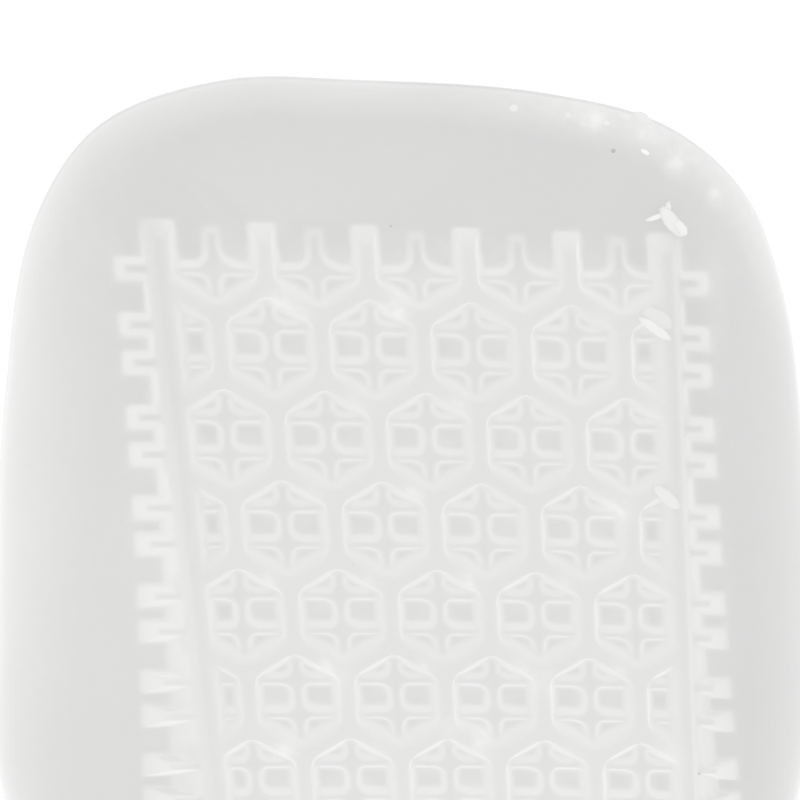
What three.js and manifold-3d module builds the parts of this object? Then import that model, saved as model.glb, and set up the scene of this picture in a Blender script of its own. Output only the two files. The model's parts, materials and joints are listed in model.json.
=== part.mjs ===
// Gel heel pad: a one-piece cup of soft clear gel that lies with its waffle ribs up, its rim on the ground.
// Millimetres, X to the right, Y towards the thin front edge, Z up, origin under the middle of the pad.
import * as THREE from 'three';
import { mergeVertices } from 'three/addons/utils/BufferGeometryUtils.js';
import Module from 'manifold-3d';

// Sizes of the pad
const PAD_LENGTH = 98;
const PAD_WIDTH = 70.8;
const FRONT_THICKNESS = 1.7;
const WALL = 2.6;
const RIM_LAND = 1.6;
const SIDE_SHOULDER = 8;
const FRONT_SHOULDER = 3;
const EDGE_HEIGHT = 0.8;
const EDGE_TUCK = 0.4;
const FACE_SAG = 9.6;

// Sizes of the waffle: wide main ribs in a honeycomb, low fine ribs that cross each cell
const RIB_RISE = 10.5;
const PATTERN_FRONT = 13.6;
const PATTERN_ASIDE = 0.38;
const CELL_PITCH = 8.05;
const ROW_PITCH = 7.49;
const ROW_CLOSING = 0.03;
const ROW_SLOPE = -3.5;
const COLUMN_LEAN = 2.7;
const LAST_ROW = 8;
const COLUMNS = 5;
const POCKET_DEPTH = 1.6;
const FINE_DROP = 1.0;
const MAIN_TOP = 0.9;
const LEFT_RAIL_INSET = 0.05;
const LEFT_RAIL_DRAW = 1.26;
const RIGHT_RAIL_INSET = 0.35;
const FINE_COLUMN_TOP = 0.64;
const FINE_ROW_TOP = 0.44;
const FINE_ROW_SPACING = 3.05;
const MAIN_DRAFT = 22;
const FINE_DRAFT = 26;
const OUTER_DRAFT = 31;
const END_DRAFT = 41;
const MAIN_STUB = 1.2;
const MAIN_STUB_FOOT = 2.2;
const FINE_STUB = 1.55;
const FINE_STUB_FOOT = 1.25;
const LEFT_REACH = 3.55;
const RIGHT_REACH = 2.8;
const SIDE_STUB_TOP = 0.7;
const SIDE_STUB_FOOT = 1.85;
const ROOT_DEPTH = 0.4;

// Numbers of facets
const OUTLINE_POINTS = 64;
const SHOULDER_STEPS = 6;
const PLATE_STEPS = 4;
const FLATNESS = 0.0005;

// Outline seen from the ribbed side, clockwise from the front edge.
// Across is a share of half the width, back a share of the length behind the front edge.
const OUTLINE = [
  { across: -0.108, back: 0.005 },
  { across: 0.307, back: 0.020 },
  { across: 0.584, back: 0.050 },
  { across: 0.772, back: 0.110 },
  { across: 0.881, back: 0.207 },
  { across: 0.940, back: 0.330 },
  { across: 0.990, back: 0.500 },
  { across: 0.994, back: 0.640 },
  { across: 0.901, back: 0.795 },
  { across: 0.663, back: 0.915 },
  { across: 0.347, back: 0.981 },
  { across: 0.011, back: 1.000 },
  { across: -0.325, back: 0.981 },
  { across: -0.642, back: 0.915 },
  { across: -0.879, back: 0.795 },
  { across: -0.998, back: 0.620 },
  { across: -0.978, back: 0.480 },
  { across: -0.924, back: 0.267 },
  { across: -0.835, back: 0.115 },
  { across: -0.681, back: 0.036 },
  { across: -0.405, back: 0.002 },
];

const GEL_COLOUR = 0xdededc;
const FRONT_Y = PAD_LENGTH / 2;
const RISE_ANGLE = THREE.MathUtils.degToRad(RIB_RISE);
const slopeOf = (degrees) => Math.tan(THREE.MathUtils.degToRad(degrees));

// Height of the pad's ribbed face, and of the plane of the rib tops, at a distance behind the front edge
function plateHeight(y) {
  const back = FRONT_Y - y;
  const behindPattern = Math.max(0, back - PATTERN_FRONT) / (PAD_LENGTH - PATTERN_FRONT);
  return FRONT_THICKNESS + Math.tan(RISE_ANGLE) * back - FACE_SAG * behindPattern ** 2;
}

function ribTopHeight(y) {
  return FRONT_THICKNESS + POCKET_DEPTH / Math.cos(RISE_ANGLE) + Math.tan(RISE_ANGLE) * (FRONT_Y - y);
}

// A smooth closed outline through the table's points
function padOutline() {
  const knots = OUTLINE.map(({ across, back }) => (
    new THREE.Vector3((across * PAD_WIDTH) / 2, FRONT_Y - back * PAD_LENGTH, 0)
  ));
  const curve = new THREE.CatmullRomCurve3(knots, true, 'centripetal');
  return curve.getSpacedPoints(OUTLINE_POINTS).slice(0, OUTLINE_POINTS);
}

// Moves each point of a clockwise outline inwards by a distance that may differ from front to side
function insetOutline(points, distanceAt) {
  return points.map((point, index) => {
    const before = points[(index + points.length - 1) % points.length];
    const after = points[(index + 1) % points.length];
    const along = after.clone().sub(before).normalize();
    const inwards = new THREE.Vector3(along.y, -along.x, 0);
    return point.clone().addScaledVector(inwards, distanceAt(inwards));
  });
}

// The shoulder is narrow where the outline faces the front and wide at the sides and heel
function shoulderWidth(inwards) {
  const facingFront = Math.max(0, -inwards.y) ** 2;
  return SIDE_SHOULDER + (FRONT_SHOULDER - SIDE_SHOULDER) * facingFront;
}

// Joins rings of equally many points, given from the bottom up, into one closed body
function ringBody(rings) {
  const count = rings[0].length;
  const centreOf = (ring) => ring.reduce((sum, p) => sum.add(p), new THREE.Vector3()).divideScalar(count);
  const points = [...rings.flat(), centreOf(rings[0]), centreOf(rings[rings.length - 1])];
  const bottomCentre = points.length - 2;
  const topCentre = points.length - 1;
  const triangles = [];
  for (let i = 0; i < count; i += 1) {
    const next = (i + 1) % count;
    triangles.push(bottomCentre, i, next);
    for (let ring = 0; ring < rings.length - 1; ring += 1) {
      const low = ring * count;
      const high = low + count;
      triangles.push(low + i, high + i, low + next);
      triangles.push(low + next, high + i, high + next);
    }
    const top = (rings.length - 1) * count;
    triangles.push(topCentre, top + next, top + i);
  }
  const geometry = new THREE.BufferGeometry();
  geometry.setFromPoints(points);
  geometry.setIndex(triangles);
  return geometry;
}

// Rings of a dome: a rounded shoulder that rises from the edge to the plate, then the plate itself
function domeRings(outline, edgeHeight, widthScale, heightAt) {
  const rings = [];
  for (let step = 0; step <= SHOULDER_STEPS; step += 1) {
    const turn = (step / SHOULDER_STEPS) * (Math.PI / 2);
    const share = 1 - Math.cos(turn);
    const ring = insetOutline(outline, (inwards) => share * widthScale * shoulderWidth(inwards));
    ring.forEach((p) => p.setZ(edgeHeight + (heightAt(p.y) - edgeHeight) * Math.sin(turn)));
    rings.push(ring);
  }
  const shoulder = rings[rings.length - 1];
  for (let step = 1; step < PLATE_STEPS; step += 1) {
    const share = 1 - step / PLATE_STEPS;
    rings.push(shoulder.map((p) => {
      const y = p.y * share;
      return new THREE.Vector3(p.x * share, y, heightAt(y));
    }));
  }
  return rings;
}

function padBody() {
  const outline = padOutline();
  const foot = insetOutline(outline, () => EDGE_TUCK);
  return ringBody([foot, ...domeRings(outline, EDGE_HEIGHT, 1, plateHeight)]);
}

// The hollow that the heel goes into: open downwards here, its roof one wall under the ribbed face
function heelHollow() {
  const mouth = insetOutline(padOutline(), () => RIM_LAND + EDGE_TUCK);
  const below = mouth.map((p) => p.clone().setZ(-WALL));
  const roofHeight = (y) => plateHeight(y) - WALL;
  const innerShoulder = (SIDE_SHOULDER - RIM_LAND) / SIDE_SHOULDER;
  return ringBody([below, ...domeRings(mouth, -EDGE_HEIGHT, innerShoulder, roofHeight)]);
}

// Waffle frame: x and y lie in the plane of the rib tops, y towards the front, and depths are below it.
const waffleFrame = new THREE.Matrix4()
  .makeTranslation(PATTERN_ASIDE, FRONT_Y - PATTERN_FRONT, ribTopHeight(FRONT_Y - PATTERN_FRONT))
  .multiply(new THREE.Matrix4().makeRotationX(-RISE_ANGLE));

// Point of the honeycomb by its column, 0 to 4 at the middles of row 0's cells, and its row.
// The rows draw slightly closer together towards the heel.
function cellPoint(column, row) {
  const across = (column - (COLUMNS - 1) / 2) * CELL_PITCH;
  const back = ROW_PITCH * row - ROW_CLOSING * row ** 2;
  const slope = THREE.MathUtils.degToRad(ROW_SLOPE);
  return new THREE.Vector2(
    across * Math.cos(slope) + back * slopeOf(COLUMN_LEAN),
    across * Math.sin(slope) - back,
  );
}

// Depth of the pad's face below the plane of the rib tops, at a point of the waffle
function faceDepth(point) {
  const onPlane = new THREE.Vector3(point.x, point.y, 0).applyMatrix4(waffleFrame);
  return (onPlane.z - plateHeight(onPlane.y)) * Math.cos(RISE_ANGLE);
}

// A body with four corners above and four below, both clockwise seen from above
function hexahedron(topCorners, footCorners) {
  const geometry = new THREE.BufferGeometry();
  geometry.setFromPoints([...footCorners, ...topCorners]);
  const faces = [[0, 1, 2, 3], [7, 6, 5, 4]];
  for (let i = 0; i < 4; i += 1) {
    const next = (i + 1) % 4;
    faces.push([i, i + 4, next + 4, next]);
  }
  geometry.setIndex(faces.flatMap(([a, b, c, d]) => [a, b, c, a, c, d]));
  return geometry.applyMatrix4(waffleFrame);
}

// A straight rib with sloped sides and ends; foot depths and end slopes go with its two ends
function rib({ from, to, width, top, feet, leftSlope, rightSlope = leftSlope, endSlopes = [0, 0] }) {
  const along = to.clone().sub(from).normalize();
  const left = new THREE.Vector2(-along.y, along.x);
  const corner = (end, side, depth) => {
    const sideSlope = side > 0 ? leftSlope : rightSlope;
    const outwards = end === 0 ? -1 : 1;
    const drop = depth - top;
    const point = (end === 0 ? from : to).clone()
      .addScaledVector(along, outwards * endSlopes[end] * drop)
      .addScaledVector(left, side * (width / 2 + sideSlope * drop));
    return new THREE.Vector3(point.x, point.y, -depth);
  };
  const order = [[0, 1], [1, 1], [1, -1], [0, -1]];
  return hexahedron(
    order.map(([end, side]) => corner(end, side, top)),
    order.map(([end, side]) => corner(end, side, feet[end])),
  );
}

const floorFeet = [POCKET_DEPTH + ROOT_DEPTH, POCKET_DEPTH + ROOT_DEPTH];
const faceFoot = (point) => faceDepth(point) + ROOT_DEPTH;
const faceFeet = (from, to) => [faceFoot(from), faceFoot(to)];
const FINE_ROW_SHARE = FINE_ROW_SPACING / 2 / ROW_PITCH;

// Columns of the honeycomb's two edges, and of the rails just inside them; the left rail draws in to the heel
const FIRST_EDGE = -0.5;
const LAST_EDGE = COLUMNS + FIRST_EDGE;
const leftRail = (row) => FIRST_EDGE + (LEFT_RAIL_INSET + (LEFT_RAIL_DRAW * row) / LAST_ROW) / CELL_PITCH;
const rightRail = () => LAST_EDGE - RIGHT_RAIL_INSET / CELL_PITCH;

// The gel under the pockets, between the two rails
function pocketFloor() {
  const corners = [
    [leftRail, FINE_ROW_SHARE],
    [rightRail, FINE_ROW_SHARE],
    [rightRail, LAST_ROW - FINE_ROW_SHARE],
    [leftRail, LAST_ROW - FINE_ROW_SHARE],
  ].map(([railAt, row]) => cellPoint(railAt(row), row));
  return hexahedron(
    corners.map((p) => new THREE.Vector3(p.x, p.y, -POCKET_DEPTH)),
    corners.map((p) => new THREE.Vector3(p.x, p.y, -Math.max(faceFoot(p), floorFeet[0]))),
  );
}

// The two straight main ribs at the sides, whose outer walls run down to the face
function rails() {
  return [leftRail, rightRail].flatMap((railAt) => {
    const backRow = LAST_ROW - FINE_ROW_SHARE;
    const frontRow = -MAIN_STUB / ROW_PITCH;
    const from = cellPoint(railAt(backRow), backRow);
    const to = cellPoint(railAt(frontRow), frontRow);
    const outerOnLeft = railAt === leftRail;
    const rail = rib({
      from,
      to,
      width: MAIN_TOP,
      top: 0,
      feet: faceFeet(from, to),
      leftSlope: slopeOf(outerOnLeft ? OUTER_DRAFT : MAIN_DRAFT),
      rightSlope: slopeOf(outerOnLeft ? MAIN_DRAFT : OUTER_DRAFT),
      endSlopes: [slopeOf(OUTER_DRAFT), slopeOf(END_DRAFT)],
    });
    return [rail, mainStub(railAt(LAST_ROW), LAST_ROW)];
  });
}

// Half columns from rail to rail; a main rib stands on every other one, shifted in each second row
const halfColumns = Array.from({ length: 2 * COLUMNS + 1 }, (unused, index) => (index - 1) / 2);
const hasMainRib = (index, row) => (index + row) % 2 === 0;

function mainColumns() {
  const ribs = [];
  for (let row = 0; row <= LAST_ROW; row += 1) {
    halfColumns.slice(1, -1).forEach((column, index) => {
      if (!hasMainRib(index + 1, row)) return;
      const middle = cellPoint(column, row);
      const atBack = row === LAST_ROW;
      const atFront = row === 0;
      const from = atBack ? middle : cellPoint(column, row + 1 / 3);
      const to = atFront ? middle : cellPoint(column, row - 1 / 3);
      ribs.push(rib({ from, to, width: MAIN_TOP, top: 0, feet: floorFeet, leftSlope: slopeOf(MAIN_DRAFT) }));
      if (atFront || atBack) ribs.push(mainStub(column, row));
    });
  }
  return ribs;
}

function mainStub(column, row) {
  const to = cellPoint(column, row === 0 ? -MAIN_STUB / ROW_PITCH : LAST_ROW + MAIN_STUB / ROW_PITCH);
  const from = cellPoint(column, row === 0 ? FINE_ROW_SHARE : LAST_ROW - FINE_ROW_SHARE);
  return stub({ from, to, top: 0, topWidth: MAIN_TOP, footWidth: MAIN_STUB_FOOT, endDraft: END_DRAFT });
}

// The zigzag of main ribs between one row of cells and the next
function zigzags() {
  const ribs = [];
  for (let row = 0; row < LAST_ROW; row += 1) {
    const nodeRow = (index) => row + (hasMainRib(index, row) ? 1 / 3 : 2 / 3);
    for (let index = 0; index < halfColumns.length - 1; index += 1) {
      const leftColumn = Math.max(halfColumns[index], leftRail(row + 0.5));
      const rightColumn = Math.min(halfColumns[index + 1], rightRail());
      const rowAt = (column) => THREE.MathUtils.mapLinear(
        column,
        halfColumns[index],
        halfColumns[index + 1],
        nodeRow(index),
        nodeRow(index + 1),
      );
      ribs.push(rib({
        from: cellPoint(leftColumn, rowAt(leftColumn)),
        to: cellPoint(rightColumn, rowAt(rightColumn)),
        width: MAIN_TOP,
        top: 0,
        feet: floorFeet,
        leftSlope: slopeOf(MAIN_DRAFT),
      }));
    }
  }
  return ribs;
}

// Fine ribs along the pad, each with a short stub past the first and the last row
function fineColumns() {
  return halfColumns.slice(1, -1).flatMap((column) => {
    const first = cellPoint(column, FINE_ROW_SHARE);
    const last = cellPoint(column, LAST_ROW - FINE_ROW_SHARE);
    const ends = { top: FINE_DROP, topWidth: FINE_COLUMN_TOP, footWidth: FINE_STUB_FOOT, endDraft: END_DRAFT };
    return [
      rib({
        from: last,
        to: first,
        width: FINE_COLUMN_TOP,
        top: FINE_DROP,
        feet: floorFeet,
        leftSlope: slopeOf(FINE_DRAFT),
      }),
      stub({ from: first, to: cellPoint(column, -FINE_STUB / ROW_PITCH), ...ends }),
      stub({ from: last, to: cellPoint(column, LAST_ROW + FINE_STUB / ROW_PITCH), ...ends }),
    ];
  });
}

// Fine ribs across the pad, two in each row of cells, and their wider stubs outside the rails.
// The outer sides of the first and the last one close the waffle down to the face.
function fineRows() {
  const ribs = [];
  for (let row = 0; row <= LAST_ROW; row += 1) {
    [row - FINE_ROW_SHARE, row + FINE_ROW_SHARE].forEach((line) => {
      if (line < 0 || line > LAST_ROW) return;
      const first = cellPoint(leftRail(line), line);
      const last = cellPoint(rightRail(), line);
      ribs.push(rib({
        from: first,
        to: last,
        width: FINE_ROW_TOP,
        top: FINE_DROP,
        feet: row === LAST_ROW ? faceFeet(first, last) : floorFeet,
        leftSlope: slopeOf(FINE_DRAFT),
        rightSlope: slopeOf(row === LAST_ROW ? OUTER_DRAFT : FINE_DRAFT),
      }));
      const ends = { top: FINE_DROP, topWidth: SIDE_STUB_TOP, footWidth: SIDE_STUB_FOOT };
      ribs.push(stub({ from: first, to: cellPoint(FIRST_EDGE - LEFT_REACH / CELL_PITCH, line), ...ends }));
      ribs.push(stub({ from: last, to: cellPoint(LAST_EDGE + RIGHT_REACH / CELL_PITCH, line), ...ends }));
    });
  }
  return ribs;
}

// A stub outside the waffle keeps its width at the foot, however far the face has dropped there
function stub({ from, to, top, topWidth, footWidth, endDraft = OUTER_DRAFT }) {
  return rib({
    from,
    to,
    width: topWidth,
    top,
    feet: faceFeet(from, to),
    leftSlope: (footWidth - topWidth) / 2 / (faceDepth(to) - top),
    endSlopes: [0, slopeOf(endDraft)],
  });
}

const wasm = await Module();
wasm.setup();

function toSolid(geometry) {
  const bare = geometry.clone();
  bare.deleteAttribute('normal');
  bare.deleteAttribute('uv');
  const merged = mergeVertices(bare);
  return new wasm.Manifold(new wasm.Mesh({
    numProp: 3,
    vertProperties: new Float32Array(merged.attributes.position.array),
    triVerts: new Uint32Array(merged.index.array),
  }));
}

function toGeometry(solid) {
  const mesh = solid.getMesh();
  const geometry = new THREE.BufferGeometry();
  geometry.setAttribute('position', new THREE.BufferAttribute(mesh.vertProperties, 3));
  geometry.setIndex(new THREE.BufferAttribute(mesh.triVerts, 1));
  geometry.computeVertexNormals();
  return geometry;
}

function heelPad() {
  const waffle = [pocketFloor(), ...rails(), ...mainColumns(), ...zigzags(), ...fineColumns(), ...fineRows()]
    .map(toSolid)
    .reduce((joined, next) => joined.add(next));
  const gel = new THREE.MeshStandardMaterial({ color: GEL_COLOUR, roughness: 0.35, metalness: 0 });
  gel.name = 'gel';
  const cup = toSolid(padBody()).subtract(toSolid(heelHollow()));
  // The joins cut flat faces up, so what lies flat within a hair is one face again
  const joined = cup.add(waffle).asOriginal().simplify(FLATNESS);
  const pad = new THREE.Mesh(toGeometry(joined), gel);
  pad.name = 'heel_pad';
  return pad;
}

const model = new THREE.Group();
model.add(heelPad());

export default model;
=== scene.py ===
"""Dresses the gel heel pad: one fine gel casting, its torn flakes, and a white studio."""

import json
import math

import bmesh
import bpy
import numpy as np
from bpy.props import FloatProperty, FloatVectorProperty, IntProperty, PointerProperty
from mathutils import Matrix, Vector, noise

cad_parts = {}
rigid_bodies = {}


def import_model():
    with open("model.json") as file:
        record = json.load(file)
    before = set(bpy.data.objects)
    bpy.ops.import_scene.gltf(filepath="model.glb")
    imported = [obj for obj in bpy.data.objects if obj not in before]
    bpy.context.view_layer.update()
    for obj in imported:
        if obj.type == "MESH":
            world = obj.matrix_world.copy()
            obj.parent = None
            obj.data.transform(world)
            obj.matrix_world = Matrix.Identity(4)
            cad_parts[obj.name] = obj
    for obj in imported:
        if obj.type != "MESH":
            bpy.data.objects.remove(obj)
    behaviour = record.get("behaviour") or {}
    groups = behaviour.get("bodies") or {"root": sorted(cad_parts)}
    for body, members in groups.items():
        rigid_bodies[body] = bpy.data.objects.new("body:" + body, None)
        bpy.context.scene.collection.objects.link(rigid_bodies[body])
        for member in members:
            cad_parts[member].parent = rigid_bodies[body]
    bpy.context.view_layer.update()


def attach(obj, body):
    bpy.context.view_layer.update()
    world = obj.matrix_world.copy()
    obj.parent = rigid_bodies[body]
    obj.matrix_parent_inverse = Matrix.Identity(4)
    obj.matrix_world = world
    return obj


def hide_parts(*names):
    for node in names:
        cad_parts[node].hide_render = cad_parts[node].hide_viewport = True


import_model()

bl_info = {
    "name": "Gel heel pad",
    "version": (1, 0, 0),
    "blender": (4, 5, 0),
    "location": "3D View > Sidebar > Heel Pad",
    "description": "Builds a moulded gel heel pad with a honeycomb waffle, and its studio",
    "category": "Add Mesh",
}

MM = 0.001
PAD = "heel_pad"

# Outline seen from the ribbed side, clockwise from the front edge:
# across is a share of half the width, back a share of the length behind the front edge
OUTLINE = (
    (-0.108, 0.005), (0.307, 0.020), (0.584, 0.050), (0.772, 0.110), (0.881, 0.207), (0.940, 0.330), (0.990, 0.500),
    (0.994, 0.640), (0.901, 0.795), (0.663, 0.915), (0.347, 0.981), (0.011, 1.000), (-0.325, 0.981), (-0.642, 0.915),
    (-0.879, 0.795), (-0.998, 0.620), (-0.978, 0.480), (-0.924, 0.267), (-0.835, 0.115), (-0.681, 0.036),
    (-0.405, 0.002),
)


def length(label, text, metres, lowest=0.0):
    """A named size in metres."""
    return FloatProperty(
        name=label, description=text, default=metres, min=lowest, precision=5, subtype="DISTANCE", unit="LENGTH"
    )


def angle(label, text, degrees):
    """A named angle."""
    radians = math.radians(degrees)
    return FloatProperty(name=label, description=text, default=radians, subtype="ANGLE", unit="ROTATION")


def amount(label, text, value, lowest=-10000.0, highest=10000.0):
    """A named plain number."""
    return FloatProperty(name=label, description=text, default=value, min=lowest, max=highest, precision=3)


def count(label, text, number, lowest):
    """A named whole number."""
    return IntProperty(name=label, description=text, default=number, min=lowest)


class HeelPadCup(bpy.types.PropertyGroup):
    """Sizes of the cup that carries the waffle."""

    length: length("Length", "From the front edge to the back of the heel", 98 * MM)
    width: length("Width", "Across the widest part of the heel", 70.8 * MM)
    front_thickness: length("Front thickness", "Height of the ribbed face at the front edge", 1.7 * MM)
    wall: length("Wall", "Thickness of the gel over the hollow", 2.6 * MM)
    rim_land: length("Rim land", "Width of the rim that the pad lies on", 1.6 * MM)
    side_shoulder: length("Side shoulder", "Width of the rounded shoulder at the sides and heel", 8 * MM)
    front_shoulder: length("Front shoulder", "Width of the rounded shoulder at the front edge", 3 * MM)
    edge_height: length("Edge height", "Height of the widest line of the rim", 0.8 * MM)
    edge_tuck: length("Edge tuck", "How far the rim's foot is set in under its widest line", 0.4 * MM)
    face_sag: length("Face sag", "How far the face has curved down at the back of the heel", 9.6 * MM)
    outline_points: count("Outline points", "Points round the cup", 240, 24)
    shoulder_steps: count("Shoulder steps", "Rings on each shoulder", 18, 3)
    plate_steps: count("Face steps", "Rings on the face and the roof", 16, 3)


class HeelPadWaffle(bpy.types.PropertyGroup):
    """Sizes of the waffle of main and fine ribs."""

    rise: angle("Rise", "Slope of the plane of the rib tops, up to the heel", 10.5)
    front: length("Front", "From the front edge to the middle of the first row of cells", 13.6 * MM)
    aside: length("Aside", "How far the waffle's middle stands to the right of the pad's", 0.38 * MM)
    cell_pitch: length("Cell pitch", "From one cell to the next across the pad", 8.05 * MM)
    row_pitch: length("Row pitch", "From the first row of cells to the next", 7.49 * MM)
    row_closing: length("Row closing", "How much closer together each further row is moved", 0.03 * MM)
    row_bow: length("Row bow", "How far the last row bends towards the heel at its ends", 0.5 * MM)
    row_slope: angle("Row slope", "How far the rows turn from straight across", -3.5)
    column_lean: angle("Column lean", "How far the columns lean from straight along", 2.7)
    last_row: count("Last row", "Number of the last row, counted from 0", 8, 2)
    columns: count("Columns", "Whole cells in the first row", 5, 2)
    pocket_depth: length("Pocket depth", "From the main rib tops to the pocket floors", 1.6 * MM)
    fine_drop: length("Fine drop", "From the main rib tops to the fine rib tops", 1.0 * MM)
    main_top: length("Main top", "Width of a main rib's flat top", 0.9 * MM)
    left_rail_inset: length("Left rail inset", "From the honeycomb's left edge to the rail at the first row", 0.05 * MM)
    left_rail_draw: length("Left rail draw", "How far the left rail has drawn in at the last row", 1.26 * MM)
    right_rail_inset: length("Right rail inset", "From the honeycomb's right edge to the rail", 0.35 * MM)
    left_rail_spread: length("Left rail spread", "Extra width of the left rail's foot at the heel", 1.7 * MM)
    right_rail_spread: length("Right rail spread", "Extra width of the right rail's foot at the heel", 0.5 * MM)
    fine_column_top: length("Fine column top", "Width of a fine rib along the pad", 0.64 * MM)
    fine_row_top: length("Fine row top", "Width of a fine rib across the pad", 0.44 * MM)
    fine_row_spacing: length("Fine row spacing", "Between the two fine ribs across a cell", 3.05 * MM)
    main_draft: angle("Main draft", "Slope of a main rib's walls", 22)
    front_draft: angle("Front draft", "Slope of the zigzag ribs' walls that face the front", 20)
    heel_draft: angle("Heel draft", "Slope of the zigzag ribs' walls that face the heel", 30)
    fine_draft: angle("Fine draft", "Slope of a fine rib's walls", 26)
    outer_draft: angle("Outer draft", "Slope of the waffle's outer walls", 31)
    end_draft: angle("End draft", "Slope of the end walls at the front and the heel", 36)
    side_stub_lean: angle("Side stub lean", "How far the side stubs lean towards the front", 17)
    side_stub_set_back: length("Side stub set-back", "How far a side stub's top ends before its foot", 0.5 * MM)
    main_stub: length("Main stub", "Length of a main rib past the last row's middle", 1.05 * MM)
    main_stub_foot: length("Main stub foot", "Width of a main stub at its foot", 1.9 * MM)
    fine_stub: length("Fine stub", "Length of a fine rib past the last row's middle", 1.4 * MM)
    fine_stub_foot: length("Fine stub foot", "Width of a fine stub at its foot", 1.25 * MM)
    left_reach: length("Left reach", "From the honeycomb's left edge to the side stubs' ends", 3.35 * MM)
    right_reach: length("Right reach", "From the honeycomb's right edge to the side stubs' ends", 2.8 * MM)
    side_stub_top: length("Side stub top", "Width of a side stub's flat top", 0.6 * MM)
    side_stub_foot: length("Side stub foot", "Width of a side stub at its foot", 1.85 * MM)
    root: length("Root", "How deep a rib is sunk into the gel under it", 0.4 * MM)
    web: length("Web", "Radius in the corners of crossing fine ribs", 1.0 * MM)
    outer_web: length("Outer web", "Radius in the corners of the fine ribs at the waffle's front and back", 1.7 * MM)
    corner_radius: length("Corner radius", "Radius in the corners of the honeycomb's cells", 2.0 * MM)


class HeelPadCast(bpy.types.PropertyGroup):
    """How finely the gel is cast, and how round its edges are."""

    grain: length("Grain", "Size of the smallest form of the casting", 0.15 * MM, 0.05 * MM)
    rounding: count("Rounding", "Passes that round the moulded edges", 12, 0)
    triangles: count("Triangles", "Most triangles of the casting", 170000, 1000)


class HeelPadGel(bpy.types.PropertyGroup):
    """Colours of the gel, and the light and shade painted into it as glow."""

    body_colour: FloatVectorProperty(
        name="Body", description="Milky colour of the gel", subtype="COLOR", size=3, default=(0.22, 0.22, 0.218),
        min=0.0, max=1.0,
    )
    # Every glow below is painted light that the gel gives off as emission; the negative ones are painted shade
    glow: amount("Glow", "Light that comes through the thinnest gel", 0.472)
    thick_glow: amount("Thick glow", "Light added by each millimetre of gel", 0.006)
    rim_glow: amount("Rim glow", "Light added on the cup's steep rim", 0.12)
    front_glow: amount("Front glow", "Light added along the front edge", 0.037)
    painted_foot_shadow: amount("Foot glow", "Light added where the rim meets the floor", -0.1)
    painted_edge_shade: amount("Edge glow", "Light added on the pad's outermost line", -0.15)
    side_glow: amount("Side glow", "Light added on the face beside the waffle", 0.028)
    waffle_glow: amount("Waffle glow", "Light caught between the ribs", 0.062)
    painted_pocket_shade: amount("Floor glow", "Light added deep in the pockets", -0.042)
    wall_glow: amount("Wall glow", "Light added on the main ribs' walls", 0.078)
    fine_glow: amount("Fine glow", "Light added on the fine ribs' walls", 0.23)
    stub_glow: amount("Stub glow", "Light added on the walls of the stubs", 0.235)
    gap_glow: amount("Gap glow", "Light caught between the tall stubs", 0.06)
    raised_glow: amount("Raised glow", "Light in the tall stubs and outer walls", 0.06)
    smear_glow: amount("Smear glow", "Light added where ribs are smeared", 0.09)
    torn_glow: amount("Torn glow", "Light added on torn flakes", 0.16)
    mottle: amount("Mottle", "Strength of the cloudy patches in the gel", 0.02)
    shine: amount("Shine", "How much the skin reflects", 0.2, 0.0, 1.0)
    gloss: amount("Roughness", "Roughness of the skin", 0.34, 0.0, 1.0)


class HeelPadStudio(bpy.types.PropertyGroup):
    """The view and the light."""

    elevation: angle("Elevation", "Height of the camera above the floor", 66.0)
    azimuth: angle("Azimuth", "Where the camera stands, turned from behind the heel", -167.6)
    distance: length("Distance", "From the camera to the point that it looks at", 206.1 * MM)
    focal_px: amount("Focal length", "In pixels of an 800 pixel frame", 2600.0)


# Where the gel's painted light changes, from none of it to all of it
BANDS = {
    # Millimetres from a main rib's middle line
    "main wall": (1.4, 1.15),
    # Millimetres below the rib tops
    "rib top": (1.0, 0.5),
    "fine ribs": (0.85, 1.15),
    "deep wall": (0.1, 1.0),
    # Millimetres outside the honeycomb's side
    "waffle": (0.6, -0.9),
    "stubs": (5.0, 4.0),
    "stub strip": (6.0, 1.0),
    "beside the waffle": (16.0, 10.0),
    # Rows from the middle of the first row of cells, and of the last
    "first row": (0.02, 0.17),
    "front stubs": (-0.5, -0.3),
    "stub rows": (-0.75, -0.5),
    "side stub rows": (-0.3, 0.1),
    "side rows": (-1.0, 3.0),
    "front rows": (2.0, 0.0),
    "heel rows": (3.0, 6.0),
    "past last row": (0.4, 0.0),
    # Millimetres in from the pad's edge
    "front edge": (2.6, 0.9),
    "dusty rim": (3.2, 1.0),
    # Millimetres across and along the pad, and up from the floor and the face
    "right side": (-2.0, 2.0),
    "dusty side": (2.0, 12.0),
    "dusty front": (26.0, 36.0),
    "foot": (0.6, 0.2),
    "raised": (0.1, 0.5),
    # Millimetres from the rib tops down to the face, and the steepness of the skin
    "hanging": (1.7, 3.4),
    "sloped": (0.15, 0.35),
}
# Shares of the painted light and shade
THIN_GEL = 2.0
THICKEST_GEL = 8.0
STEEP = 0.5
RIGHT_RIM_LOSS = 0.55
HEEL_RIM_LOSS = 0.35
HANGING_STUB_LOSS = 0.85
TOP_WALL_SHARE = 0.3
DEEP_WALL_SHARE = 0.9
DUST = 0.45
# Width in millimetres of the painted dark line along the pad's edge
EDGE_LINE = 0.18
FAR_FROM_EDGE = 10.0

# Smears: where they lie in a cell, their depth below the rib tops, and how their strength and size vary
SMEAR_PLACE = (0.3, -0.42)
SMEAR_DEPTH = 1.3
SMEAR_CHANCE = 0.25
SMEAR_CHANCE_BY_ROW = 0.06
SMEAR_REACH = 0.9
SMEAR_REACH_SPREAD = 0.5
SMEAR_NARROWING = 0.6
SMEAR_GRAINS = (1.7 * MM, 2.3 * MM)

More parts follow.
